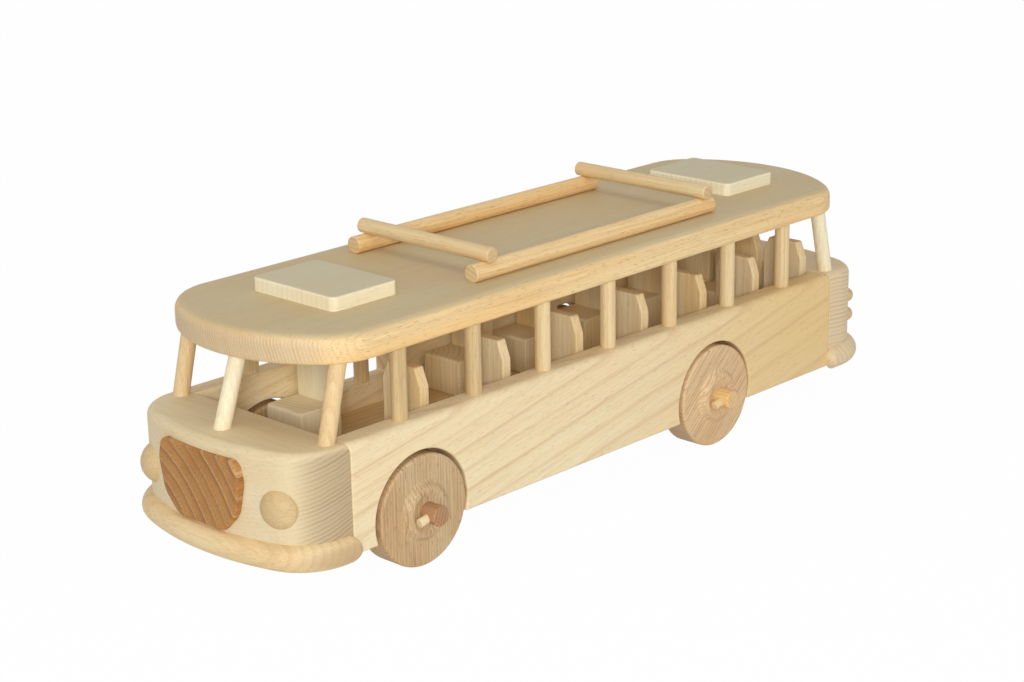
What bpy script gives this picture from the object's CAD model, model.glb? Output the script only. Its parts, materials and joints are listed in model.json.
# %% [markdown]
# A wooden toy bus, dressed for the camera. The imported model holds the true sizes, so this lesson first
# loads it as a fixed frame, then models each wooden piece again with the soft edges that sandpaper leaves,
# and gives every piece a wood whose figure runs through the block in three dimensions, as it does in a real
# plank.

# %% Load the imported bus
import json
import math

import bmesh
import bpy
from mathutils import Matrix, Vector


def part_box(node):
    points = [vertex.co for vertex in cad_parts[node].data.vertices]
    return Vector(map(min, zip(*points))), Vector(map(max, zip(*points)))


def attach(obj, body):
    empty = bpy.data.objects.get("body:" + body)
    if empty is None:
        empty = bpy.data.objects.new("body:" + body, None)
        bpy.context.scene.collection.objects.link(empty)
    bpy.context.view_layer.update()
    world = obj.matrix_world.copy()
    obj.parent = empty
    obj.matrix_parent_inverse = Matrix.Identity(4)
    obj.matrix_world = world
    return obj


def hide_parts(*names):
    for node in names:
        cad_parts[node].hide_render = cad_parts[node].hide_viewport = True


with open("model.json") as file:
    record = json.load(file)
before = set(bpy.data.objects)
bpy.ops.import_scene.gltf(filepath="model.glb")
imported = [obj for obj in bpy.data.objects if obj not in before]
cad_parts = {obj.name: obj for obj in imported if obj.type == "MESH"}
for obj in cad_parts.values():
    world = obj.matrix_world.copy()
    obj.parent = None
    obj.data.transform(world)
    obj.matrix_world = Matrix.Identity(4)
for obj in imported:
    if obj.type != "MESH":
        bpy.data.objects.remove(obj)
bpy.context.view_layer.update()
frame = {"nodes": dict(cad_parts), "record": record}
MM = 0.001

# %% [markdown]
# Small helpers come first. An operator acts on whatever is selected, so each piece starts with nothing
# selected, and its faces and edges are then picked by where they lie. Picking by place keeps working when a
# size changes, which picking by number would not. The step counts say how many faces go across a rounded
# edge.

# %% Helpers for picking and shaping
X, Y, Z = range(3)
NEAR = 1e-5
DOUBLES = NEAR / 4
SMOOTH_ANGLE = 35
ROUND_PROFILE = 0.5
SEAM_STEPS = 2
EDGE_STEPS = 3
SOFT_STEPS = 4
ROUND_STEPS = 6
BROAD_STEPS = 8


def nothing_selected():
    bpy.ops.object.select_all(action="DESELECT")


def begin(name):
    """The newest primitive becomes a named piece with its place in its mesh, open for editing."""
    piece = bpy.context.object
    piece.name = name
    piece.data.name = name
    bpy.ops.object.transform_apply(location=True, rotation=True, scale=True)
    bpy.ops.object.mode_set(mode="EDIT")
    return piece


def pick(piece, kind, test):
    """Select the faces or edges that pass a test, and nothing else."""
    bpy.ops.mesh.select_mode(type=kind)
    bpy.ops.mesh.select_all(action="DESELECT")
    mesh = bmesh.from_edit_mesh(piece.data)
    for part in mesh.faces if kind == "FACE" else mesh.edges:
        part.select_set(bool(test(part)))
    mesh.select_flush_mode()
    bmesh.update_edit_mesh(piece.data)


def lies_at(part, axis, value):
    """True where every corner of a face or edge has this coordinate."""
    return all(abs(vert.co[axis] - value) < NEAR for vert in part.verts)


def ease(offset, segments):
    bpy.ops.mesh.bevel(offset=offset, segments=segments, profile=ROUND_PROFILE, affect="EDGES",
                       clamp_overlap=True)


def close_up(piece, smooth_angle=SMOOTH_ANGLE):
    """Merge doubles, point the faces outwards and even out the shading next to soft edges."""
    bpy.ops.mesh.select_all(action="SELECT")
    bpy.ops.mesh.remove_doubles(threshold=DOUBLES)
    bpy.ops.mesh.normals_make_consistent(inside=False)
    bpy.ops.object.mode_set(mode="OBJECT")
    bpy.ops.object.shade_smooth_by_angle(angle=math.radians(smooth_angle))
    evened = piece.modifiers.new("evened", "WEIGHTED_NORMAL")
    evened.keep_sharp = True
    bpy.ops.object.modifier_apply(modifier=evened.name)
    return piece


def copied(piece, name, move, turn=0.0):
    """A copy with its own mesh, turned about the upright axis of the frame and then moved."""
    nothing_selected()
    piece.select_set(True)
    bpy.context.view_layer.objects.active = piece
    bpy.ops.object.duplicate(linked=False)
    twin = bpy.context.object
    twin.name = name
    twin.data.name = name
    twin.rotation_euler = (0, 0, turn)
    twin.location = move
    bpy.ops.object.transform_apply(location=True, rotation=True, scale=True)
    return twin


def joined(pieces, name):
    nothing_selected()
    for piece in pieces:
        piece.select_set(True)
    bpy.context.view_layer.objects.active = pieces[0]
    bpy.ops.object.join()
    pieces[0].name = name
    pieces[0].data.name = name
    return pieces[0]


print("helpers ready, places match within", NEAR / MM, "mm")

# %% [markdown]
# Nodes are wired by a few short helpers, so that a formula reads like one. Each takes the tree that it adds
# to, and a value may be a plain number or another node's output.

# %% Helpers for nodes
def add_node(tree, kind, **settings):
    made = tree.nodes.new("ShaderNode" + kind)
    for key, value in settings.items():
        setattr(made, key, value)
    return made


def feed(tree, socket, value):
    """Wire another node's output into a socket, or set a plain value on it."""
    if isinstance(value, bpy.types.NodeSocket):
        tree.links.new(value, socket)
    else:
        socket.default_value = value


def calc(tree, operation, *values):
    made = add_node(tree, "Math", operation=operation)
    for socket, value in zip(made.inputs, values):
        feed(tree, socket, value)
    return made.outputs[0]


def times(tree, one, other):
    return calc(tree, "MULTIPLY", one, other)


def soft_step(tree, value, low, high):
    made = add_node(tree, "MapRange", interpolation_type="SMOOTHSTEP")
    for key, given in (("Value", value), ("From Min", low), ("From Max", high)):
        feed(tree, made.inputs[key], given)
    return made.outputs[0]


def mound(tree, value, rise, fall):
    """A mask that rises over one span of a value and falls over another."""
    return times(tree, soft_step(tree, value, *rise),
                 calc(tree, "SUBTRACT", 1.0, soft_step(tree, value, *fall)))


def noise(tree, place, stretch, detail, roughness=0.5):
    """Noise in a space that is stretched by a vector of cycles per millimetre."""
    spread = add_node(tree, "VectorMath", operation="MULTIPLY")
    feed(tree, spread.inputs[0], place)
    feed(tree, spread.inputs[1], stretch)
    made = add_node(tree, "TexNoise", noise_dimensions="3D")
    feed(tree, made.inputs["Vector"], spread.outputs[0])
    for key, value in (("Scale", 1.0), ("Detail", detail), ("Roughness", roughness)):
        feed(tree, made.inputs[key], value)
    return made.outputs[0]


def new_group(name, inputs, outputs):
    tree = bpy.data.node_groups.new(name, "ShaderNodeTree")
    for label, kind in inputs:
        tree.interface.new_socket(label, in_out="INPUT", socket_type=kind)
    for label, kind in outputs:
        tree.interface.new_socket(label, in_out="OUTPUT", socket_type=kind)
    return tree, tree.nodes.new("NodeGroupInput"), tree.nodes.new("NodeGroupOutput")


print("node helpers ready")

# %% [markdown]
# The figure of wood is the mark of its year rings. A tree grows in rings round its pith, and a board is cut
# somewhere beside that pith, so one formula gives all faces: the distance from the pith makes rings, which
# show as broad bands on a flat-sawn face, as close lines on a quarter-sawn one, and as arcs on end grain. A
# painted picture would have to be matched at each edge; a solid pattern matches by itself.
#
# The group below works in millimetres with x along the grain. It puts out masks only, and each material
# decides which colours they blend. Rings drift and wobble, and no two years are equally dark.

# %% The shared figure of beech
DRIFT = {"stretch": (0.006, 0.022, 0.022), "detail": 2.0}
WOBBLE = {"stretch": (0.03, 0.16, 0.16), "detail": 2.0}
FIBRE = {"stretch": (0.045, 1.7, 1.7), "detail": 3.0, "roughness": 0.6}
BAND = {"stretch": (0.005, 0.045, 0.045), "detail": 2.0}
FLECK = {"stretch": (0.26, 2.4, 2.4), "detail": 1.0}
WOBBLE_MM = 1.1
LATE_RISE, LATE_FALL = (0.30, 0.88), (0.90, 1.0)
LINE_RISE, LINE_FALL = (0.72, 0.86), (0.92, 1.0)
FLECK_SPAN = (0.62, 0.72)
PALEST_YEAR = 0.4
YEAR_SPREAD = 0.6
NOISE_MIDDLE = 0.5

VALUE, VECTOR = "NodeSocketFloat", "NodeSocketVector"
figure, figure_in, figure_out = new_group(
    "beech_figure",
    [("Place", VECTOR), ("Plank", VECTOR), ("Ring Width", VALUE), ("Wander", VALUE)],
    [("Ring", VALUE), ("Line", VALUE), ("Fibre", VALUE), ("Band", VALUE), ("Fleck", VALUE)])
in_mm = add_node(figure, "VectorMath", operation="SCALE")
feed(figure, in_mm.inputs[0], figure_in.outputs["Place"])
feed(figure, in_mm.inputs["Scale"], 1 / MM)
in_plank = add_node(figure, "VectorMath", operation="ADD")
feed(figure, in_plank.inputs[0], in_mm.outputs[0])
feed(figure, in_plank.inputs[1], figure_in.outputs["Plank"])
grain_place = in_plank.outputs[0]
split = add_node(figure, "SeparateXYZ")
feed(figure, split.inputs[0], grain_place)
from_pith = calc(
    figure, "SQRT",
    calc(figure, "ADD",
         times(figure, split.outputs[Y], split.outputs[Y]),
         times(figure, split.outputs[Z], split.outputs[Z])))
drift = calc(figure, "SUBTRACT", noise(figure, grain_place, **DRIFT), NOISE_MIDDLE)
wobble = calc(figure, "SUBTRACT", noise(figure, grain_place, **WOBBLE), NOISE_MIDDLE)
ring_age = calc(
    figure, "DIVIDE",
    calc(figure, "ADD", from_pith,
         calc(figure, "ADD",
              times(figure, drift, figure_in.outputs["Wander"]),
              times(figure, wobble, WOBBLE_MM))),
    figure_in.outputs["Ring Width"])
ring_part = calc(figure, "FRACT", ring_age)
ring_year = add_node(figure, "TexWhiteNoise", noise_dimensions="1D")
feed(figure, ring_year.inputs["W"], calc(figure, "FLOOR", ring_age))
ring_depth = calc(figure, "MULTIPLY_ADD", ring_year.outputs["Value"], YEAR_SPREAD, PALEST_YEAR)
late_wood = mound(figure, ring_part, LATE_RISE, LATE_FALL)
year_line = mound(figure, ring_part, LINE_RISE, LINE_FALL)
masks = {
    "Ring": times(figure, late_wood, ring_depth), "Line": times(figure, year_line, ring_depth),
    "Fibre": noise(figure, grain_place, **FIBRE), "Band": noise(figure, grain_place, **BAND),
    "Fleck": soft_step(figure, noise(figure, grain_place, **FLECK), *FLECK_SPAN),
}
for label, mask in masks.items():
    feed(figure, figure_out.inputs[label], mask)
print("beech_figure group with", len(figure.nodes), "nodes")

# %% [markdown]
# A finish turns the figure so that the grain runs along the piece. Each piece carries its own small vector,
# named plank, that says where in the tree it was cut, so no two pieces show the same figure. End grain
# drinks more light and looks darker, and the face's own normal tells where it lies.

# %% Laying the figure on a piece
END_SPAN = (0.55, 0.97)


def blend(tree, share, low, high):
    mixed = add_node(tree, "Mix", data_type="RGBA", blend_type="MIX", clamp_factor=True)
    colours = [socket for socket in mixed.inputs if socket.type == "RGBA"]
    feed(tree, mixed.inputs[0], share)
    feed(tree, colours[0], low)
    feed(tree, colours[1], high)
    return next(socket for socket in mixed.outputs if socket.type == "RGBA")


def part_of(tree, vector, axis):
    """One coordinate of a vector."""
    parts = add_node(tree, "SeparateXYZ")
    feed(tree, parts.inputs[0], vector)
    return parts.outputs[axis]


def turned(tree, vector, turn, kind):
    made = add_node(tree, "Mapping", vector_type=kind)
    feed(tree, made.inputs["Vector"], vector)
    made.inputs["Rotation"].default_value = turn
    return made.outputs[0]


def lay_figure(tree, place, turn, ring_width, wander):
    """The figure turned to run along a piece, and a mask of the piece's end grain."""
    plank = add_node(tree, "Attribute", attribute_name="plank")
    grain = add_node(tree, "Group", node_tree=figure)
    feed(tree, grain.inputs["Place"], turned(tree, place.outputs["Object"], turn, "POINT"))
    feed(tree, grain.inputs["Plank"], plank.outputs["Vector"])
    feed(tree, grain.inputs["Ring Width"], ring_width)
    feed(tree, grain.inputs["Wander"], wander)
    along = part_of(tree, turned(tree, place.outputs["Normal"], turn, "VECTOR"), X)
    return grain, soft_step(tree, calc(tree, "ABSOLUTE", along), *END_SPAN)


print("end grain starts where a face turns along the grain by", END_SPAN[0])

# %% [markdown]
# The colours of a wood are blended one over the other: pale wood with warm bands, the shade of end grain,
# the late wood of each ring, fine fibres and dark flecks. Two things are local. The left panel is stained
# warmer towards the tail, and the roof and its hatches have greyed on top. Fibres also roughen the surface,
# and fibres and flecks sink into it.

# %% A wooden finish
def srgb(red, green, blue):
    """A colour as a colour picker shows it, from 0 to 255, made linear by the usual sRGB curve."""
    def linear(value):
        share = value / 255
        return share / 12.92 if share <= 0.04045 else ((share + 0.055) / 1.055) ** 2.4
    return (linear(red), linear(green), linear(blue), 1.0)


BAND_SPAN = (0.35, 0.68)
STREAK_SPAN = (0.42, 0.72)
TOP_SPAN = (0.5, 0.98)
STAIN_SPAN = (-0.03, 0.16)
TOP_GREY = srgb(188, 174, 138)
STAIN = srgb(230, 194, 122)
ROUGHNESS = 0.47
ROUGHNESS_SPREAD = 0.16
SHINE = 0.3
RELIEF = 0.25
PORE_DEEP = 0.12 * MM


def wood(name, turn, colours, ring_width, wander, ring, fibre, fleck, end_ring=0.7, end_shade=0.5,
         top_shade=0.0, stain=0.0, line=0.0, line_colour=None):
    """A finish of beech. turn lays the grain, and all but the widths and colours are strengths."""
    material = bpy.data.materials.new(name)
    material.use_nodes = True
    tree = material.node_tree
    shader = tree.nodes["Principled BSDF"]
    pale, warm, late, dark, end = colours
    place = add_node(tree, "TexCoord")
    grain, on_end = lay_figure(tree, place, turn, ring_width, wander)
    figure_of = grain.outputs

    tone = blend(tree, soft_step(tree, figure_of["Band"], *BAND_SPAN), pale, warm)
    tone = blend(tree, times(tree, on_end, end_shade), tone, end)
    if stain:
        behind = times(tree, part_of(tree, place.outputs["Object"], X), -1.0)
        tone = blend(tree, times(tree, soft_step(tree, behind, *STAIN_SPAN), stain), tone, STAIN)
    ring_strength = calc(tree, "MULTIPLY_ADD", on_end, end_ring - ring, ring)
    tone = blend(tree, times(tree, figure_of["Ring"], ring_strength), tone, late)
    if line:
        tone = blend(tree, times(tree, figure_of["Line"], line), tone, line_colour)
    streak = times(tree, soft_step(tree, figure_of["Fibre"], *STREAK_SPAN), fibre)
    tone = blend(tree, streak, tone, late)
    off_end = times(tree, calc(tree, "SUBTRACT", 1.0, on_end), fleck)
    side_fleck = times(tree, figure_of["Fleck"], off_end)
    tone = blend(tree, side_fleck, tone, dark)
    if top_shade:
        on_top = soft_step(tree, part_of(tree, place.outputs["Normal"], Z), *TOP_SPAN)
        tone = blend(tree, times(tree, on_top, top_shade), tone, TOP_GREY)
    feed(tree, shader.inputs["Base Color"], tone)

    feed(tree, shader.inputs["Roughness"],
         calc(tree, "MULTIPLY_ADD", figure_of["Fibre"], ROUGHNESS_SPREAD, ROUGHNESS))
    shader.inputs["Specular IOR Level"].default_value = SHINE
    bump = add_node(tree, "Bump")
    bump.inputs["Strength"].default_value = RELIEF
    bump.inputs["Distance"].default_value = PORE_DEEP
    feed(tree, bump.inputs["Height"],
         calc(tree, "SUBTRACT", times(tree, figure_of["Fibre"], -1.0), side_fleck))
    feed(tree, shader.inputs["Normal"], bump.outputs[0])
    return material


print("stain runs over", [round(-place / MM) for place in STAIN_SPAN], "mm along the bus")

# %% [markdown]
# Each palette is one tone of wood: pale wood, warm band, late wood, fleck and end grain. A toy like this is
# made of offcuts, so the tones differ from piece to piece.

# %% Palettes of the woods
def palette(*colours):
    return [srgb(*colour) for colour in colours]


cream = palette((242, 226, 186), (240, 210, 152), (214, 174, 122), (190, 146, 104), (214, 190, 152))
linen = palette((243, 228, 190), (243, 221, 177), (214, 174, 122), (190, 146, 104), (214, 190, 152))
bone = palette((230, 214, 176), (226, 205, 162), (150, 120, 86), (172, 136, 98), (190, 168, 134))
almond = palette((238, 218, 180), (232, 208, 168), (190, 160, 122), (182, 148, 112), (230, 208, 170))
ivory = palette((252, 244, 214), (250, 236, 198), (222, 200, 160), (196, 168, 130), (240, 226, 190))
straw = palette((236, 214, 167), (232, 201, 150), (204, 165, 116), (172, 128, 84), (196, 168, 128))
honey = palette((244, 215, 162), (244, 202, 138), (200, 156, 100), (134, 96, 56), (206, 188, 156))
oat = palette((222, 196, 148), (212, 184, 134), (178, 146, 102), (150, 116, 76), (196, 168, 126))
tawny = palette((214, 190, 147), (206, 172, 128), (160, 122, 84), (124, 90, 60), (180, 150, 112))
sand = palette((232, 202, 158), (228, 190, 144), (180, 142, 100), (150, 112, 76), (190, 160, 122))
russet = palette((192, 140, 78), (178, 122, 64), (120, 76, 38), (104, 62, 30), (168, 116, 62))
umber = palette((196, 154, 114), (184, 140, 102), (142, 102, 70), (120, 84, 56), (190, 150, 114))
YEAR_BROWN = srgb(208, 162, 120)
YEAR_PALE = srgb(226, 184, 130)
print("palest wood, linear:", [round(value, 2) for value in ivory[0]])

# %% [markdown]
# The finishes name the pieces that wear them. The grain runs along each stick and board, rises a little
# towards the tail on the side panels, and stands slanted on the rear wheels, as it fell when the blanks
# were cut. A row gives the look, its material, the lie of the grain, the palette, the width and wander of
# the rings in mm, and the strengths of ring, fibre and fleck. What only some finishes need follows as
# extras.

# %% Finishes of the pieces
QUARTER = math.pi / 2
GRAIN_RISE = math.radians(11)
WHEEL_SLANT = math.radians(48)
ALONG_X = (0, 0, 0)
ALONG_Y = (0, 0, -QUARTER)
ALONG_Z = (0, QUARTER, 0)
ALONG_PANEL = (0, -GRAIN_RISE, 0)
ACROSS_WHEEL = (0, QUARTER + WHEEL_SLANT, 0)

FINISHES = (
    ("panel", "panel_beech", ALONG_PANEL, linen, 6.5, 5.0, 0.1, 0.3, 0.35),
    ("panel_right", "panel_beech_right", ALONG_PANEL, cream, 6.5, 5.0, 0.1, 0.3, 0.4),
    ("end_block", "end_block_beech", ALONG_Y, bone, 1.6, 2.0, 0.05, 0.12, 0.2),
    ("tail", "tail_beech", ALONG_Y, almond, 1.9, 2.0, 0.05, 0.15, 0.2),
    ("bumper_rear", "bumper_beech_rear", ALONG_Y, almond, 3.0, 5.0, 0.2, 0.3, 0.2),
    ("bumper", "bumper_beech", ALONG_Y, straw, 3.0, 5.0, 0.3, 0.4, 0.25),
    ("roof", "roof_beech", ALONG_X, honey, 1.2, 3.0, 0.2, 0.34, 0.4),
    ("hatch", "hatch_beech", ALONG_X, ivory, 2.8, 4.0, 0.08, 0.2, 0.25),
    ("rail", "rail_beech", ALONG_X, honey, 2.0, 4.0, 0.3, 0.4, 0.35),
    ("bar", "bar_beech", ALONG_Y, straw, 2.0, 4.0, 0.25, 0.35, 0.25),
    ("dowel", "dowel_beech", ALONG_Z, straw, 2.0, 4.0, 0.35, 0.45, 0.25),
    ("dowel_tan", "dowel_beech_tan", ALONG_Z, oat, 2.0, 4.0, 0.35, 0.5, 0.3),
    ("dowel_pale", "dowel_beech_pale", ALONG_Z, ivory, 2.0, 4.0, 0.3, 0.4, 0.2),
    ("light", "light_beech", ALONG_X, oat, 3.0, 3.0, 0.15, 0.4, 0.3),
    ("seat", "seat_beech", ALONG_Z, cream, 2.4, 5.0, 0.3, 0.4, 0.25),
    ("seat_pale", "seat_beech_pale", ALONG_Z, ivory, 2.4, 5.0, 0.2, 0.3, 0.2),
    ("floor", "floor_beech", ALONG_X, straw, 2.6, 5.0, 0.4, 0.4, 0.2),
    ("wheel_front", "wheel_wood_upright", ALONG_Z, tawny, 1.5, 4.0, 0.5, 0.65, 0.6),
    ("wheel_rear", "wheel_wood_slanted", ACROSS_WHEEL, sand, 1.6, 4.0, 0.5, 0.6, 0.5),
    ("axle_front", "axle_wood_red", ALONG_Y, umber, 1.5, 3.0, 0.5, 0.5, 0.3),
    ("axle_rear", "axle_wood_pale", ALONG_Y, honey, 1.5, 3.0, 0.4, 0.4, 0.3),
    ("peg", "peg_beech", ALONG_X, cream, 1.6, 3.0, 0.35, 0.4, 0.2),
    ("grille", "grille_wood", ALONG_X, russet, 5.6, 2.0, 0.5, 0.6, 0.4),
)
EXTRAS = {
    "panel": {"stain": 0.65, "line": 0.29, "line_colour": YEAR_BROWN},
    "panel_right": {"line": 0.32, "line_colour": YEAR_BROWN},
    "end_block": {"end_ring": 0.62, "end_shade": 0.85},
    "tail": {"end_ring": 0.5, "end_shade": 0.8},
    "bumper_rear": {"end_ring": 0.3, "end_shade": 0.3},
    "bumper": {"end_ring": 0.6, "end_shade": 0.85},
    "roof": {"end_ring": 0.8, "end_shade": 0.85, "top_shade": 0.7},
    "hatch": {"end_ring": 0.3, "end_shade": 0.1, "top_shade": 0.7},
    "light": {"end_ring": 0.2, "end_shade": 0.2},
    "axle_front": {"end_shade": 0.3},
    "axle_rear": {"end_shade": 0.3},
    "grille": {"end_ring": 0.75, "end_shade": 0.1, "line": 0.6, "line_colour": YEAR_PALE},
}
finish = {look: wood(name, *values, **EXTRAS.get(look, {})) for look, name, *values in FINISHES}
print("finishes:", ", ".join(sorted(finish)))

# %% [markdown]
# Every finished piece says three things: the finish it wears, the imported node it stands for, and the body
# it rides on. A piece that rides on a wheel's body turns with that wheel. The floor board is a plain board
# inside the bus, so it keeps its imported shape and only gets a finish.

# %% Dressing a finished piece
slot_of = {part["node"]: part["material_slot"] for part in frame["record"]["subparts"]}


def dress(piece, look, plank, node, body="bus"):
    """Store the piece's place in the tree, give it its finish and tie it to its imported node."""
    mark = piece.data.attributes.new("plank", "FLOAT_VECTOR", "POINT")
    mark.data.foreach_set("vector", list(plank) * len(piece.data.vertices))
    piece.data.materials.clear()
    piece.data.materials.append(finish[look])
    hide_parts(node)
    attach(piece, body)
    return piece


floor_slots = frame["nodes"]["floor_board"].data.materials
floor_slots.clear()
floor_slots.append(finish["floor"])
print(len(slot_of), "nodes have a slot")

# %% [markdown]
# In plan the nose, the tail, the roof and the bumpers all end in a shallow bow between two rounder corners.
# It could be cut from a cube with a boolean, but drawing the plan as one outline and pulling it up keeps
# clean walls that a bevel can follow round the block.

# %% Plan of a bowed end
BOW_STEPS = 24
CORNER_STEPS = 16


def arc(centre, radius, start, stop, steps):
    """Points on an arc from one angle to another, both included."""
    turns = [start + (stop - start) * step / steps for step in range(steps + 1)]
    return [(centre[0] + radius * math.cos(turn), centre[1] + radius * math.sin(turn)) for turn in turns]


def bow_centres(tip, half, bow, corner):
    """Centre of the bow, centre of its left corner, and the angle where one arc meets the other."""
    rise = half - corner
    reach = math.sqrt((bow - corner) ** 2 - rise ** 2)
    return (tip - bow, 0.0), (tip - bow + reach, rise), math.atan2(rise, reach)


def bowed_half(tip, half, bow, corner, grow=0.0):
    """Left half of a bowed end, from its tip to its side; grow moves the whole line out."""
    bow_centre, corner_centre, turn = bow_centres(tip, half, bow, corner)
    return (arc(bow_centre, bow + grow, 0.0, turn, BOW_STEPS)
            + arc(corner_centre, corner + grow, turn, QUARTER, CORNER_STEPS)[1:])


def mirrored(points):
    return [(x, -y) for x, y in reversed(points)]


def outlined(name, points, at):
    """A flat face: a filled circle whose corners are set on the points of an outline, placed by at."""
    nothing_selected()
    bpy.ops.mesh.primitive_circle_add(vertices=len(points), radius=1, fill_type="NGON")
    piece = begin(name)
    mesh = bmesh.from_edit_mesh(piece.data)
    mesh.verts.ensure_lookup_table()
    for vert, point in zip(mesh.verts, points):
        vert.co = at(point)
    mesh.normal_update()
    bmesh.update_edit_mesh(piece.data)
    return piece


def pull(way):
    bpy.ops.mesh.select_all(action="SELECT")
    bpy.ops.mesh.extrude_region_move(TRANSFORM_OT_translate={"value": way})


print("a bowed half has", BOW_STEPS + CORNER_STEPS + 1, "points")

# %% [markdown]
# The nose and the tail are solid blocks of that plan. Their top edge is rounded over, the edge underneath
# is only broken, and the seam to the side panels is eased by a hair, so that it shows as a fine line.

# %% Nose and tail
END_BOW = 120 * MM
END_CORNER = 20.7 * MM
END_EASE = 3.5 * MM
SEAM_EASE = 0.35 * MM
FOOT_EASE = 0.8 * MM


def end_block(name, node, way, look, plank):
    low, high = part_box(node)
    tip, seam = (high.x, low.x) if way > 0 else (-low.x, -high.x)
    half = bowed_half(tip, high.y, END_BOW, END_CORNER)
    plan = mirrored(half)[:-1] + half + [(seam, high.y), (seam, -high.y)]
    block = outlined(name, plan, lambda point: (way * point[0], point[1], low.z))
    pull((0, 0, high.z - low.z))
    edge = way * seam
    pick(block, "EDGE", lambda part: lies_at(part, Z, high.z) and not lies_at(part, X, edge))
    ease(END_EASE, ROUND_STEPS)
    pick(block, "EDGE", lambda part: lies_at(part, Z, low.z) and not lies_at(part, X, edge))
    ease(FOOT_EASE, EDGE_STEPS)
    pick(block, "EDGE", lambda part: lies_at(part, X, edge))
    ease(SEAM_EASE, SEAM_STEPS)
    close_up(block)
    return dress(block, look, plank, node)


nose = end_block("nose", "nose_block", 1, "end_block", (0, 114, 104))
tail = end_block("tail", "tail_block", -1, "tail", (300, -140, 105))
print("nose and tail:", len(nose.data.polygons), "and", len(tail.data.polygons), "faces")

# %% [markdown]
# The side panels are boards with a half-round arch over each wheel. On the far side one window bay is cut
# down to a doorway. The arches belong to the outline, so no cutting is needed. The outer top edge is
# rounded over like the nose's, and a bevel modifier with an angle limit then eases every other real edge
# but leaves the smooth run of the arch alone.

# %% Side panels
ARCH_GAP = 1.6 * MM
ARCH_STEPS = 48
PANEL_EASE = 0.9 * MM
EASE_ANGLE = 40
DOOR_WALL = 2 * MM
SOCKET = 6 * MM
axle_box = {end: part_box("axle_" + end) for end in ("front", "rear")}
wheel_box = {end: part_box(f"wheel_{end}_left") for end in ("front", "rear")}


def wheel_arch(end, foot):
    """The arch over a wheel, from its rear foot over the top to its front foot."""
    low, high = wheel_box[end]
    radius = (high.z - low.z) / 2
    hub = ((low.x + high.x) / 2, (low.z + high.z) / 2)
    dip = math.asin((hub[1] - foot) / (radius + ARCH_GAP))
    return arc(hub, radius + ARCH_GAP, math.pi + dip, -dip, ARCH_STEPS)


def eased_all(piece, width, angle=EASE_ANGLE):
    """Ease every real edge of a piece with a bevel modifier, then return to editing."""
    bpy.ops.mesh.select_all(action="SELECT")
    bpy.ops.mesh.normals_make_consistent(inside=False)
    bpy.ops.object.mode_set(mode="OBJECT")
    eased = piece.modifiers.new("eased", "BEVEL")
    eased.width = width
    eased.segments = EDGE_STEPS
    eased.limit_method = "ANGLE"
    eased.angle_limit = math.radians(angle)
    bpy.ops.object.modifier_apply(modifier=eased.name)
    bpy.ops.object.mode_set(mode="EDIT")


def side_panel(name, node, doorway, look, plank):
    low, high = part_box(node)
    line = [(low.x, low.z)] + wheel_arch("rear", low.z) + wheel_arch("front", low.z)
    line += [(high.x, low.z), (high.x, high.z)]
    if doorway:
        door_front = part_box("pillar_right_2")[0].x - DOOR_WALL
        door_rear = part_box("pillar_right_3")[1].x + DOOR_WALL
        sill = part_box("door_post")[0].z + SOCKET
        line += [(door_front, high.z), (door_front, sill), (door_rear, sill), (door_rear, high.z)]
    line.append((low.x, high.z))
    panel = outlined(name, line, lambda point: (point[0], low.y, point[1]))
    pull((0, high.y - low.y, 0))
    outer = high.y if low.y > 0 else low.y
    pick(panel, "EDGE", lambda part: lies_at(part, Z, high.z) and lies_at(part, Y, outer))
    ease(END_EASE, ROUND_STEPS)
    eased_all(panel, PANEL_EASE)
    close_up(panel)
    return dress(panel, look, plank, node)


left_side = side_panel("left_side", "side_panel_left", False, "panel", (40, 22, 34))
right_side = side_panel("right_side", "side_panel_right", True, "panel_right", (540, 130, 28))
print("sides:", len(left_side.data.polygons), "and", len(right_side.data.polygons), "faces")

# %% [markdown]
# The roof is one thick board, bowed at both ends and rounded over along its top edge. Its year rings stand
# upright in the board, which is why fine upright lines show on its bowed end.

# %% Roof board
ROOF_BOW = 65 * MM
ROOF_CORNER = 24.6 * MM
ROOF_EASE_TOP = 5 * MM
ROOF_EASE_UNDER = 1.4 * MM

roof_low, roof_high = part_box("roof_board")
front_half = bowed_half(roof_high.x, roof_high.y, ROOF_BOW, ROOF_CORNER)
rear_half = [(-x, y) for x, y in bowed_half(-roof_low.x, roof_high.y, ROOF_BOW, ROOF_CORNER)]
roof_plan = mirrored(front_half)[:-1] + front_half + rear_half[::-1] + [(x, -y) for x, y in rear_half[1:]]
roof = outlined("roof", roof_plan, lambda point: (point[0], point[1], roof_low.z))
pull((0, 0, roof_high.z - roof_low.z))
pick(roof, "EDGE", lambda part: lies_at(part, Z, roof_high.z))
ease(ROOF_EASE_TOP, BROAD_STEPS)
pick(roof, "EDGE", lambda part: lies_at(part, Z, roof_low.z))
ease(ROOF_EASE_UNDER, SOFT_STEPS)
close_up(roof)
dress(roof, "roof", (0, 175, -40), "roof_board")
print("roof:", len(roof.data.polygons), "faces")

# %% [markdown]
# Two flat hatches are glued on the roof. Each starts as a cube; the upright corners are rounded first, and
# then the top rim, because a bevel runs cleanly round corners that are already soft.

# %% Roof hatches
HATCH_CORNER = 2.8 * MM
HATCH_EASE = 1 * MM


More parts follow.
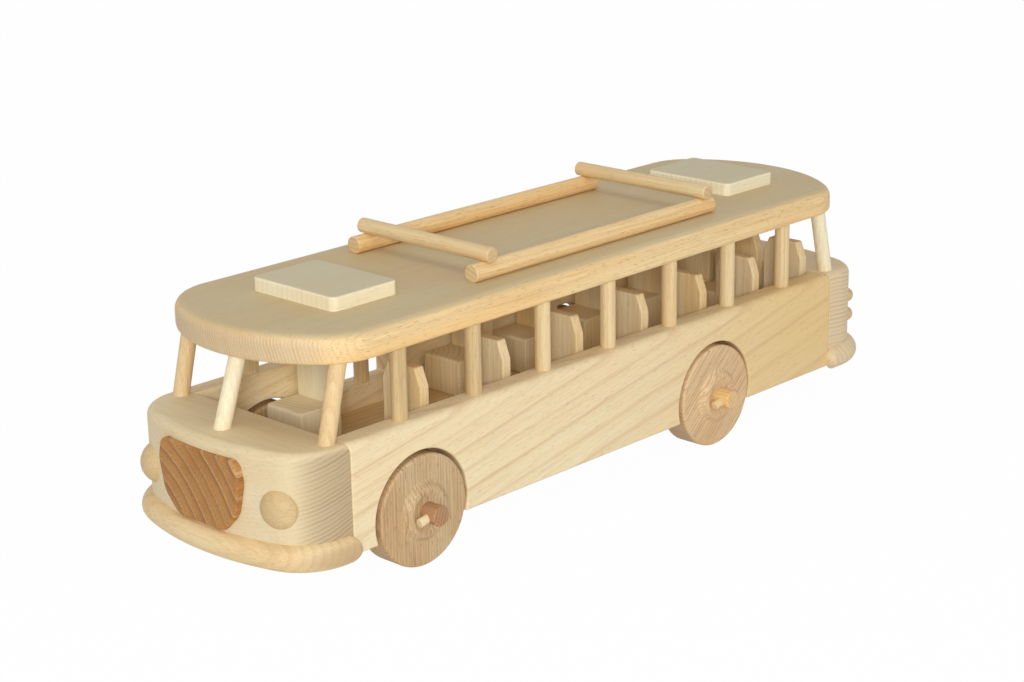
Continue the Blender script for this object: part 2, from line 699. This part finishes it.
def roof_hatch(name, node, plank):
    low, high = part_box(node)
    nothing_selected()
    bpy.ops.mesh.primitive_cube_add(size=1, location=(low + high) / 2, scale=high - low)
    hatch = begin(name)
    pick(hatch, "EDGE", lambda part: abs(part.verts[0].co.z - part.verts[1].co.z) > NEAR)
    ease(HATCH_CORNER, BROAD_STEPS)
    pick(hatch, "EDGE", lambda part: lies_at(part, Z, high.z))
    ease(HATCH_EASE, ROUND_STEPS)
    close_up(hatch)
    return dress(hatch, "hatch", plank, node)


for name, node, plank in (("hatch_front", "roof_hatch_front", (20, 170, -112)),
                          ("hatch_rear", "roof_hatch_rear", (260, 150, -90))):
    made = roof_hatch(name, node, plank)
    print(name, len(made.data.polygons), "faces")

# %% [markdown]
# Round sticks do much of the work on this bus: window dowels, rack rails and bars, axles and pegs. Each is
# a cylinder whose end rims are eased. One helper makes a stick between two points, turned to lie along
# them.

# %% A round stick
STICK_SIDES = 48
STICK_EASE = 0.6 * MM
RIM_TEST = 0.5


def stick(name, start, stop, radius, rim=STICK_EASE):
    """A cylinder from one point to another with eased rims, open for editing."""
    start, stop = Vector(start), Vector(stop)
    line = stop - start
    nothing_selected()
    bpy.ops.mesh.primitive_cylinder_add(
        vertices=STICK_SIDES, radius=radius, depth=line.length, end_fill_type="NGON",
        location=(start + stop) / 2, rotation=line.to_track_quat("Z", "Y").to_euler())
    made = begin(name)
    along = line.normalized()

    def on_rim(part):
        return abs((part.verts[0].co - part.verts[1].co).normalized().dot(along)) < RIM_TEST

    pick(made, "EDGE", on_rim)
    ease(rim, EDGE_STEPS)
    return made


print("sticks have", STICK_SIDES, "sides")

# %% [markdown]
# Window dowels carry the roof. The posts along the sides stand upright, and those at the ends lean with the
# windscreen and the rear window. A leaning stick's box is wider than the stick, so its length is worked out
# from the box's height and the lean. All are cut from the same few rods, at places that follow a simple
# count.

# %% Window dowels
SCREEN_LEAN = math.radians(13.9)
CENTRE_LEAN = math.radians(19.5)
REAR_LEAN = math.radians(-13.2)
SIDE_POSTS = 7
DOWEL_LEANS = {
    "windscreen_dowel_left": SCREEN_LEAN, "windscreen_dowel_right": SCREEN_LEAN,
    "windscreen_dowel_centre": CENTRE_LEAN, "rear_dowel_left": REAR_LEAN, "rear_dowel_right": REAR_LEAN,
}
DOWEL_LOOKS = {
    "pillar_left_1": "dowel_tan", "pillar_left_2": "dowel_tan", "windscreen_dowel_centre": "dowel_pale",
    "rear_dowel_left": "dowel_pale", "rear_dowel_right": "dowel_pale",
}
DOWEL_CUTS = {"along": 61.0, "across": (18, 7, 4), "up": (12, 9, 5)}


def cut_place(count, along, across, up):
    """Where the next of many alike is cut: a step along the tree, at one of a few places in it."""
    def place(first, step, places):
        return first + step * (count % places)

    return along * count, place(*across), place(*up)


def dowel(name, node, lean, plank):
    """A window dowel through the middle of its node's box, leaning back from its foot."""
    low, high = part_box(node)
    middle = (low + high) / 2
    radius = (high.y - low.y) / 2
    reach = ((high.z - low.z) - 2 * radius * abs(math.sin(lean))) / math.cos(lean) / 2
    way = Vector((-math.sin(lean), 0, math.cos(lean)))
    made = stick(name, middle - way * reach, middle + way * reach, radius)
    close_up(made)
    return dress(made, DOWEL_LOOKS.get(node, "dowel"), plank, node)


dowel_nodes = [f"pillar_{side}_{place + 1}" for side in ("left", "right") for place in range(SIDE_POSTS)]
dowel_nodes += ["door_post", *DOWEL_LEANS]
for count, node in enumerate(dowel_nodes):
    name = node.replace("pillar", "window_post") + "_wood"
    dowel(name, node, DOWEL_LEANS.get(node, 0.0), cut_place(count, **DOWEL_CUTS))
print(len(dowel_nodes), "window dowels")

# %% [markdown]
# The luggage rack is two long rails glued on the roof with two bars across them. A flat is planed under
# each, which a bisect with a filled cut makes in one step.

# %% Luggage rack
def rack_stick(name, node, axis, look, plank):
    """A rail or bar along x or y, cut flat where it sits."""
    low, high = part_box(node)
    side = Y if axis == X else X
    radius = (high[side] - low[side]) / 2
    start = (low + high) / 2
    start.z = high.z - radius
    stop = start.copy()
    start[axis] = low[axis]
    stop[axis] = high[axis]
    made = stick(name, start, stop, radius)
    bpy.ops.mesh.select_all(action="SELECT")
    bpy.ops.mesh.bisect(plane_co=low, plane_no=(0, 0, 1), clear_inner=True, use_fill=True)
    close_up(made)
    return dress(made, look, plank, node)


rack_stick("rail_left", "rack_rail_left", X, "rail", (10, 22, 31))
rack_stick("rail_right", "rack_rail_right", X, "rail", (410, 36, 18))
rack_stick("bar_front", "rack_bar_front", Y, "bar", (90, 27, 15))
rack_stick("bar_rear", "rack_bar_rear", Y, "bar", (290, 19, 33))
print("rack: two rails and two bars")

# %% [markdown]
# The radiator grille is a shield of darker wood, flat in front and hollowed behind to lie on the bowed
# nose. Its outline is the tight band round four circles on each side, so it is worked out as the hull of
# points on those circles. The face is pulled back, and the back rim is then moved onto the nose's curve.

# %% Radiator grille
GRILLE_CORNER = 4 * MM
GRILLE_SIDE = 8 * MM
GRILLE_BELLY = 10 * MM
GRILLE_FOOT = 6 * MM
GRILLE_SHOULDER_IN = 0.9 * MM
GRILLE_BELLY_IN = 1.7 * MM
GRILLE_FOOT_IN = 6.7 * MM
GRILLE_WIDE_UP = 20.8 * MM
GRILLE_BELLY_UP = 12.8 * MM
GRILLE_EASE = 1.3 * MM
GRILLE_EASE_STEPS = 5
GRILLE_SINK = 0.2 * MM
HULL_STEPS = 40
HULL_DIGITS = 7


def hull(points):
    """The outer points of a flat set, in order round it."""
    def turn(first, second, third):
        return ((second[0] - first[0]) * (third[1] - first[1])
                - (second[1] - first[1]) * (third[0] - first[0]))

    def chain(ordered):
        line = []
        for point in ordered:
            while len(line) > 1 and turn(line[-2], line[-1], point) <= 0:
                line.pop()
            line.append(point)
        return line[:-1]

    ordered = sorted(set(points))
    return chain(ordered) + chain(ordered[::-1])


nose_low, nose_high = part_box("nose_block")
grille_low, grille_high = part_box("radiator_grille")
wide = grille_high.y
rounds = [
    (wide - GRILLE_SHOULDER_IN - GRILLE_CORNER, grille_high.z - GRILLE_CORNER, GRILLE_CORNER),
    (wide - GRILLE_SIDE, grille_low.z + GRILLE_WIDE_UP, GRILLE_SIDE),
    (wide - GRILLE_BELLY_IN - GRILLE_BELLY, grille_low.z + GRILLE_BELLY_UP, GRILLE_BELLY),
    (wide - GRILLE_FOOT_IN - GRILLE_FOOT, grille_low.z + GRILLE_FOOT, GRILLE_FOOT),
]
ring_points = [point for across, up, radius in rounds for side in (-1, 1)
               for point in arc((side * across, up), radius, 0, 2 * math.pi, HULL_STEPS)]
shield = hull([(round(across, HULL_DIGITS), round(up, HULL_DIGITS)) for across, up in ring_points])
grille = outlined("grille", shield, lambda point: (grille_high.x, *point))
pull((grille_low.x - grille_high.x, 0, 0))
mesh = bmesh.from_edit_mesh(grille.data)
for vert in mesh.verts:
    if abs(vert.co.x - grille_low.x) < NEAR:
        vert.co.x = nose_high.x - END_BOW + math.sqrt(END_BOW ** 2 - vert.co.y ** 2) - GRILLE_SINK
bmesh.update_edit_mesh(grille.data)
pick(grille, "EDGE", lambda part: lies_at(part, X, grille_high.x))
ease(GRILLE_EASE, GRILLE_EASE_STEPS)
close_up(grille)
dress(grille, "grille", (0, 49, 4), "radiator_grille")
print("grille outline:", len(shield), "points")

# %% [markdown]
# The lights are turned domes. A sphere is cut by a plane and the cut is filled, which leaves a cap; its
# flat is then pulled back into the wood, as a turned light is let into its socket. Each cap is turned to
# stand square to the curve that carries it.

# %% Lights
HEADLIGHT_TURN = math.radians(22)
HEADLIGHT_HIGH = 4.3 * MM
HEADLIGHT_WIDE = 15 * MM
HEADLIGHT_SINK = 1.4 * MM
HEADLIGHT_UP = 22.1 * MM
TAIL_TURN = math.radians(39)
TAIL_HIGH = 3 * MM
TAIL_WIDE = 6.6 * MM
TAIL_SINK = 0.5 * MM
TAIL_UPS = (18.3 * MM, 27.5 * MM)
DOME_SIDES = 48
DOME_RINGS = 32


def on_bow(tip, half, angle):
    """Point of a bowed end where the wood faces outwards by an angle."""
    bow_centre, corner_centre, turn = bow_centres(tip, half, END_BOW, END_CORNER)
    centre, radius = (bow_centre, END_BOW) if angle < turn else (corner_centre, END_CORNER)
    return centre[0] + radius * math.cos(angle), centre[1] + radius * math.sin(angle)


def dome(name, wide, rise, sink, place, heading):
    """A cap of a sphere with a short rim behind it, facing along a heading in plan."""
    ball = (wide * wide / 4 + rise * rise) / (2 * rise)
    nothing_selected()
    bpy.ops.mesh.primitive_uv_sphere_add(segments=DOME_SIDES, ring_count=DOME_RINGS, radius=ball,
                                         location=(0, 0, rise - ball))
    cap = begin(name)
    bpy.ops.mesh.select_all(action="SELECT")
    bpy.ops.mesh.bisect(plane_co=(0, 0, 0), plane_no=(0, 0, 1), clear_inner=True, use_fill=True)
    pick(cap, "FACE", lambda part: lies_at(part, Z, 0.0))
    bpy.ops.mesh.extrude_region_move(TRANSFORM_OT_translate={"value": (0, 0, -sink)})
    close_up(cap)
    cap.rotation_euler = (0, QUARTER, heading)
    cap.location = place
    bpy.ops.object.transform_apply(location=True, rotation=True, scale=True)
    return cap


for side, node, plank in ((1, "headlight_left", (40, 21, 26)), (-1, "headlight_right", (40, 3, 26))):
    ahead, across = on_bow(nose_high.x, nose_high.y, HEADLIGHT_TURN)
    spot = (ahead, side * across, nose_low.z + HEADLIGHT_UP)
    light = dome(node + "_wood", HEADLIGHT_WIDE, HEADLIGHT_HIGH, HEADLIGHT_SINK, spot,
                 side * HEADLIGHT_TURN)
    dress(light, "light", plank, node)

tail_low, tail_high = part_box("tail_block")
for side, node, plank in ((1, "tail_lights_left", (200, 30, 19)), (-1, "tail_lights_right", (200, 30, 9))):
    ahead, across = on_bow(-tail_low.x, tail_high.y, TAIL_TURN)
    pair = [dome(f"{node}_{count}", TAIL_WIDE, TAIL_HIGH, TAIL_SINK,
                 (-ahead, side * across, tail_low.z + up), math.pi - side * TAIL_TURN)
            for count, up in enumerate(TAIL_UPS)]
    dress(joined(pair, node + "_wood"), "light", plank, node)
print("two headlights and four tail lights")

# %% [markdown]
# The bumpers are half-round mouldings wrapped round the body's ends. Each level of the moulding is the
# body's own outline moved out by the half-round, and its ends are rounded in plan. A grid gives the right
# net of faces, and its corners are then set on those levels; a sweep along a path would pinch at the tight
# corners.

# %% Bumpers
BUMPER_PAST = 2 * MM
BUMPER_END = 3 * MM
BUMPER_SINK = 0.1 * MM
BUMPER_LEVELS = 17
BUMPER_SMOOTH = 50
END_STEPS = 8
GRID_HALF = 0.5


def bumper_line(tip, half, seam, grow, proud):
    """One level of a bumper in plan, from its left end round the body to its right end."""
    body = bowed_half(tip, half, END_BOW, END_CORNER, grow)
    round_end = max(min(BUMPER_END, grow), NEAR)
    end = seam - BUMPER_PAST + proud - grow
    tip_arc = arc((end + round_end, half + grow - round_end), round_end, math.pi, QUARTER, END_STEPS)
    left = [(end, half - BUMPER_SINK)] + tip_arc + body[::-1]
    return left + [(x, -y) for x, y in left[-2::-1]]


def bumper_levels(low, high, body_low, body_high, way):
    """The bumper's outline at each height of its half-round, from the lowest to the highest."""
    tip, seam = (body_high.x, body_low.x) if way > 0 else (-body_low.x, -body_high.x)
    proud = (high.x if way > 0 else -low.x) - tip
    radius = (high.z - low.z) / 2
    reach = math.acos((radius - proud) / radius)
    levels = []
    for count in range(BUMPER_LEVELS):
        angle = reach * (2 * count / (BUMPER_LEVELS - 1) - 1)
        grow = max(proud - radius + radius * math.cos(angle), 0.0)
        up = low.z + radius + radius * math.sin(angle)
        levels.append([(way * x, y, up) for x, y in bumper_line(tip, body_high.y, seam, grow, proud)])
    return levels


def bumper(name, node, carrier, way, look, plank):
    levels = bumper_levels(*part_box(node), *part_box(carrier), way)
    across = len(levels[0])
    nothing_selected()
    bpy.ops.mesh.primitive_grid_add(x_subdivisions=across - 1, y_subdivisions=BUMPER_LEVELS - 1,
                                    size=2 * GRID_HALF)
    made = begin(name)
    mesh = bmesh.from_edit_mesh(made.data)
    mesh.verts.ensure_lookup_table()
    for vert in mesh.verts:
        column = round((vert.co.x + GRID_HALF) * (across - 1))
        row = round((vert.co.y + GRID_HALF) * (BUMPER_LEVELS - 1))
        vert.co = levels[row][column]
    bmesh.update_edit_mesh(made.data)
    close_up(made, BUMPER_SMOOTH)
    return dress(made, look, plank, node)


bumper_front = bumper("bumper_front", "front_bumper", "nose_block", 1, "bumper", (0, -40, 70))
bumper_rear = bumper("bumper_rear", "rear_bumper", "tail_block", -1, "bumper_rear", (320, 55, 62))
print("bumpers:", len(bumper_front.data.polygons), "and", len(bumper_rear.data.polygons), "faces")

# %% [markdown]
# A wheel is turned on a lathe: two flat faces with rounded rims, a low boss in the outer face and a bore.
# It starts as a cylinder; insets mark the rings on its faces, the boss is raised by an inset with a depth,
# and the bore is a bridge between the two innermost rings. One wheel is modelled here, in the place of the
# front left one.

# %% One wheel
BOSS = 12 * MM
BOSS_SLOPE = 2.4 * MM
BOSS_HIGH = 2.7 * MM
BOSS_EASE = 1.0 * MM
BOSS_CREST = 1.6 * MM
HOLLOW_SLOPE = 1.8 * MM
HOLLOW_DEEP = 0.9 * MM
RIM_EASE = 1.2 * MM
RING_SLACK = 0.2 * MM
WHEEL_SIDES = 96
AXLE_FIT = 0.08 * MM

low, high = wheel_box["front"]
face_y = high.y - BOSS_HIGH
hub = Vector(((low.x + high.x) / 2, (low.y + face_y) / 2, (low.z + high.z) / 2))
wheel_radius = (high.z - low.z) / 2
axle_low, axle_high = axle_box["front"]
bore = (axle_high.z - axle_low.z) / 2 + AXLE_FIT


def on_ring(part, radius, side):
    """True for an edge that runs round the hub at a radius on one side of the wheel."""
    def fits(vert):
        off_hub = math.hypot(vert.co.x - hub.x, vert.co.z - hub.z)
        return abs(off_hub - radius) < RING_SLACK and abs(vert.co.y - side) < NEAR

    return all(fits(vert) for vert in part.verts)


nothing_selected()
bpy.ops.mesh.primitive_cylinder_add(vertices=WHEEL_SIDES, radius=wheel_radius, depth=face_y - low.y,
                                    end_fill_type="NGON", location=hub, rotation=(QUARTER, 0, 0))
wheel = begin("wheel")
pick(wheel, "FACE", lambda part: lies_at(part, Y, face_y))
bpy.ops.mesh.inset(thickness=wheel_radius - BOSS)
bpy.ops.mesh.inset(thickness=BOSS_SLOPE, depth=BOSS_HIGH)
bpy.ops.mesh.inset(thickness=BOSS_CREST)
bpy.ops.mesh.inset(thickness=HOLLOW_SLOPE, depth=-HOLLOW_DEEP)
bpy.ops.mesh.inset(thickness=BOSS - BOSS_SLOPE - BOSS_CREST - HOLLOW_SLOPE - bore)
bpy.ops.mesh.delete(type="ONLY_FACE")
pick(wheel, "FACE", lambda part: lies_at(part, Y, low.y))
bpy.ops.mesh.inset(thickness=wheel_radius - bore)
bpy.ops.mesh.delete(type="ONLY_FACE")
pick(wheel, "EDGE", lambda part: part.is_boundary)
bpy.ops.mesh.bridge_edge_loops()
for side in (low.y, face_y):
    pick(wheel, "EDGE", lambda part: on_ring(part, wheel_radius, side))
    ease(RIM_EASE, ROUND_STEPS)
pick(wheel, "EDGE", lambda part: on_ring(part, BOSS, face_y) or on_ring(part, BOSS - BOSS_SLOPE, high.y))
ease(BOSS_EASE, ROUND_STEPS)
close_up(wheel)
print("a wheel of", len(wheel.data.polygons), "faces")

# %% [markdown]
# The four wheels are copies of that one. The right ones are turned half round, so that their boss faces
# outwards, and each rides on its own body. The blank is then removed.

# %% Four wheels
WHEEL_PLANKS = {
    "wheel_front_left": (140, -52, 30), "wheel_front_right": (420, -38, 44),
    "wheel_rear_left": (230, -60, 24), "wheel_rear_right": (620, -44, 18),
}

wheels = {}
for end in ("front", "rear"):
    axle_x = (wheel_box[end][0].x + wheel_box[end][1].x) / 2
    left, right = f"wheel_{end}_left", f"wheel_{end}_right"
    wheels[left] = copied(wheel, left + "_wood", (axle_x - hub.x, 0, 0))
    wheels[right] = copied(wheel, right + "_wood", (axle_x + hub.x, 0, 0), math.pi)
bpy.data.objects.remove(wheel)
for node, made in wheels.items():
    dress(made, "wheel_front" if "front" in node else "wheel_rear", WHEEL_PLANKS[node], node, body=node)
print("wheels:", ", ".join(wheels))

# %% [markdown]
# The axles are stout dowels right across the bus, and a thin peg stuck in each end keeps the wheel on. The
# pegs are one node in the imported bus, so the four sticks are joined into one piece.

# %% Axles and pegs
PEG_RADIUS = 1.75 * MM
PEG_IN = 5.8 * MM
PEG_OUT = 3.9 * MM
PEG_TILT = math.radians(12)
PEG_EASE = 0.45 * MM
AXLE_PLANKS = {"front": (33, 9, 21), "rear": (170, 9, 21)}
peg_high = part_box("wheel_pegs")[1]

pegs = []
for end in ("front", "rear"):
    low, high = axle_box[end]
    middle = (low + high) / 2
    radius = (high.z - low.z) / 2
    made = stick(f"axle_{end}_wood", (middle.x, low.y, middle.z), (middle.x, high.y, middle.z), radius)
    close_up(made)
    dress(made, "axle_" + end, AXLE_PLANKS[end], "axle_" + end)
    for side in (-1, 1):
        across = side * (peg_high.y - PEG_RADIUS)
        way = Vector((math.cos(PEG_TILT), 0, -math.sin(PEG_TILT)))
        spot = Vector((middle.x, across, middle.z))
        peg = stick(f"peg_{end}_{side}", spot + way * (radius - PEG_IN), spot + way * (radius + PEG_OUT),
                    PEG_RADIUS, PEG_EASE)
        pegs.append(close_up(peg))
dress(joined(pegs, "pegs"), "peg", (15, 11, 17), "wheel_pegs")
print("two axles, four pegs")

# %% [markdown]
# Each seat is a bench block with a back board behind it, whose top corners are sawn off at a slant. One
# seat is modelled, both its boards eased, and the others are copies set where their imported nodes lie. Only
# the seat in the aisle of the last row is of another width, so the same steps make it anew.

# %% Seats
SEAT_BACK = 4.8 * MM
SLANT_WIDE = 2.9 * MM
SLANT_HIGH = 7.5 * MM
BENCH_HIGH = 16 * MM
BENCH_EASE = 1.6 * MM
SEAT_EASE = 0.7 * MM
SLANT_ANGLE = 15
PALE_SEAT = "seat_right_1"
SEAT_CUTS = {"along": 47.0, "across": (30, 13, 3), "up": (40, -11, 4)}


def seat_like(node, name):
    """A seat that fills a node's box: its back board and its bench block, joined."""
    low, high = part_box(node)
    slant = high.z - SLANT_HIGH
    back_line = [(low.y, low.z), (high.y, low.z), (high.y, slant), (high.y - SLANT_WIDE, high.z),
                 (low.y + SLANT_WIDE, high.z), (low.y, slant)]
    back = outlined(name, back_line, lambda point: (low.x, *point))
    pull((SEAT_BACK, 0, 0))
    eased_all(back, SEAT_EASE, SLANT_ANGLE)
    close_up(back)
    bench_low = Vector((low.x + SEAT_BACK, low.y, low.z))
    bench_high = Vector((high.x, high.y, low.z + BENCH_HIGH))
    nothing_selected()
    bpy.ops.mesh.primitive_cube_add(size=1, location=(bench_low + bench_high) / 2,
                                    scale=bench_high - bench_low)
    bench = begin("bench")
    pick(bench, "EDGE", lambda part: lies_at(part, Z, bench_high.z) and lies_at(part, X, bench_high.x))
    ease(BENCH_EASE, SOFT_STEPS)
    eased_all(bench, SEAT_EASE)
    close_up(bench)
    return joined([back, bench], name)


pattern = seat_like("seat_left_1", "seat_pattern")
pattern_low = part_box("seat_left_1")[0]
seat_nodes = [node for node in slot_of if node.startswith(("seat_left", "seat_right"))]
seats = {node: copied(pattern, node + "_wood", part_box(node)[0] - pattern_low) for node in seat_nodes}
bpy.data.objects.remove(pattern)
seats["seat_middle"] = seat_like("seat_middle", "seat_middle_wood")
for count, (node, made) in enumerate(seats.items()):
    look = "seat_pale" if node == PALE_SEAT else "seat"
    dress(made, look, cut_place(count, **SEAT_CUTS), node)
print(len(seats), "seats")

# %% [markdown]
# The stage is a plain white floor and a white world, seen white by the camera, with soft light. The floor
# keeps a faint shadow, because part of what the camera sees of it is its real shading.

# %% Floor and world
FLOOR_HALF = 4.0
FLOOR_GLOW = 0.98
PAPER = (0.86, 0.86, 0.86, 1)
PAPER_ROUGH = 0.9
WHITE = (1, 1, 1, 1)
WHITE_GLOW = 1.0
WORLD_LIGHT = 0.42


def seen_directly(tree):
    """One where a ray is a camera, glossy or transmission ray."""
    path = add_node(tree, "LightPath")
    seen = calc(tree, "MAXIMUM", path.outputs["Is Camera Ray"], path.outputs["Is Glossy Ray"])
    return calc(tree, "MAXIMUM", seen, path.outputs["Is Transmission Ray"])


def two_sights(tree, share, lit, glow, output):
    """What lights the bus, and what the camera sees instead, mixed by a share."""
    mixed = add_node(tree, "MixShader")
    for socket, value in zip(mixed.inputs, (share, lit.outputs[0], glow.outputs[0])):
        feed(tree, socket, value)
    feed(tree, tree.nodes[output].inputs["Surface"], mixed.outputs[0])


nothing_selected()
bpy.ops.mesh.primitive_plane_add(size=2 * FLOOR_HALF, location=(0, 0, 0))
ground = bpy.context.object
ground.name = "ground"
paper = bpy.data.materials.new("white_paper")
paper.use_nodes = True
tree = paper.node_tree
shaded = tree.nodes["Principled BSDF"]
shaded.inputs["Base Color"].default_value = PAPER
shaded.inputs["Roughness"].default_value = PAPER_ROUGH
glow = add_node(tree, "Emission")
glow.inputs["Strength"].default_value = WHITE_GLOW
two_sights(tree, times(tree, seen_directly(tree), FLOOR_GLOW), shaded, glow, "Material Output")
ground.data.materials.append(paper)

world = bpy.data.worlds.new("white_studio")
bpy.context.scene.world = world
world.use_nodes = True
tree = world.node_tree
dim = tree.nodes["Background"]
bright = add_node(tree, "Background")
for sky, strength in ((dim, WORLD_LIGHT), (bright, WHITE_GLOW)):
    sky.inputs["Color"].default_value = WHITE
    sky.inputs["Strength"].default_value = strength
two_sights(tree, seen_directly(tree), dim, bright, "World Output")
print("white floor and world")

# %% [markdown]
# The strongest lamp stands behind the camera and shines in through the windows, because the seats inside
# would otherwise sink into the dark. Two larger, weaker ones stand low on either side of it: the one ahead
# of the bus, a little to its right, lays the dowels' shadows back across the nose. A weak one overhead
# keeps the roof's top from going dark. Together they leave the upright faces brightest and the flat tops a
# step darker.

# %% Lamps
LAMP_AIM = Vector((0.03, 0, 0.05))
LAMP_AWAY = 1.5


def soft_lamp(name, azimuth, elevation, size, power):
    turn, rise = math.radians(azimuth), math.radians(elevation)
    way = Vector((math.cos(turn) * math.cos(rise), math.sin(turn) * math.cos(rise), math.sin(rise)))
    data = bpy.data.lights.new(name, "AREA")
    data.shape = "SQUARE"
    data.size = size
    data.energy = power
    lamp = bpy.data.objects.new(name, data)
    bpy.context.scene.collection.objects.link(lamp)
    lamp.location = LAMP_AIM + way * LAMP_AWAY
    lamp.rotation_euler = way.to_track_quat("Z", "Y").to_euler()


soft_lamp("lamp_ahead", azimuth=-12, elevation=20, size=0.6, power=0.8)
soft_lamp("lamp_side", azimuth=88, elevation=16, size=0.8, power=2.4)
soft_lamp("lamp_fill", azimuth=43.9, elevation=17.5, size=0.25, power=9.4)
soft_lamp("lamp_over", azimuth=10, elevation=75, size=0.8, power=3.0)
print("four lamps")

# %% [markdown]
# The camera stands where the photograph's did: off the front left corner, a little above the roof. Its
# place was worked out from the lines of the bus in the picture, so the render lies over the photograph.

# %% Camera
CAMERA_TARGET = Vector((18.6, 6.53, 57.74)) * MM
CAMERA_DISTANCE = 900 * MM
CAMERA_YAW = math.radians(43.91)
CAMERA_PITCH = math.radians(17.46)
CAMERA_ROLL = math.radians(-1.06)
CAMERA_LENS = 75.89
CAMERA_SENSOR = 36.0

back = Vector((math.cos(CAMERA_YAW) * math.cos(CAMERA_PITCH), math.sin(CAMERA_YAW) * math.cos(CAMERA_PITCH),
               math.sin(CAMERA_PITCH)))
level = Vector((0, 0, 1)).cross(back).normalized()
up = back.cross(level)
rolled_right = level * math.cos(CAMERA_ROLL) + up * math.sin(CAMERA_ROLL)
rolled_up = up * math.cos(CAMERA_ROLL) - level * math.sin(CAMERA_ROLL)
eye = bpy.data.cameras.new("camera")
eye.lens = CAMERA_LENS
eye.sensor_width = CAMERA_SENSOR
camera = bpy.data.objects.new("camera", eye)
bpy.context.scene.collection.objects.link(camera)
spot = Matrix((rolled_right, rolled_up, back)).transposed().to_4x4()
spot.translation = CAMERA_TARGET + back * CAMERA_DISTANCE
camera.matrix_world = spot
bpy.context.scene.camera = camera
bpy.context.scene.view_settings.view_transform = "Standard"
print("camera at", [round(value, 3) for value in camera.location])
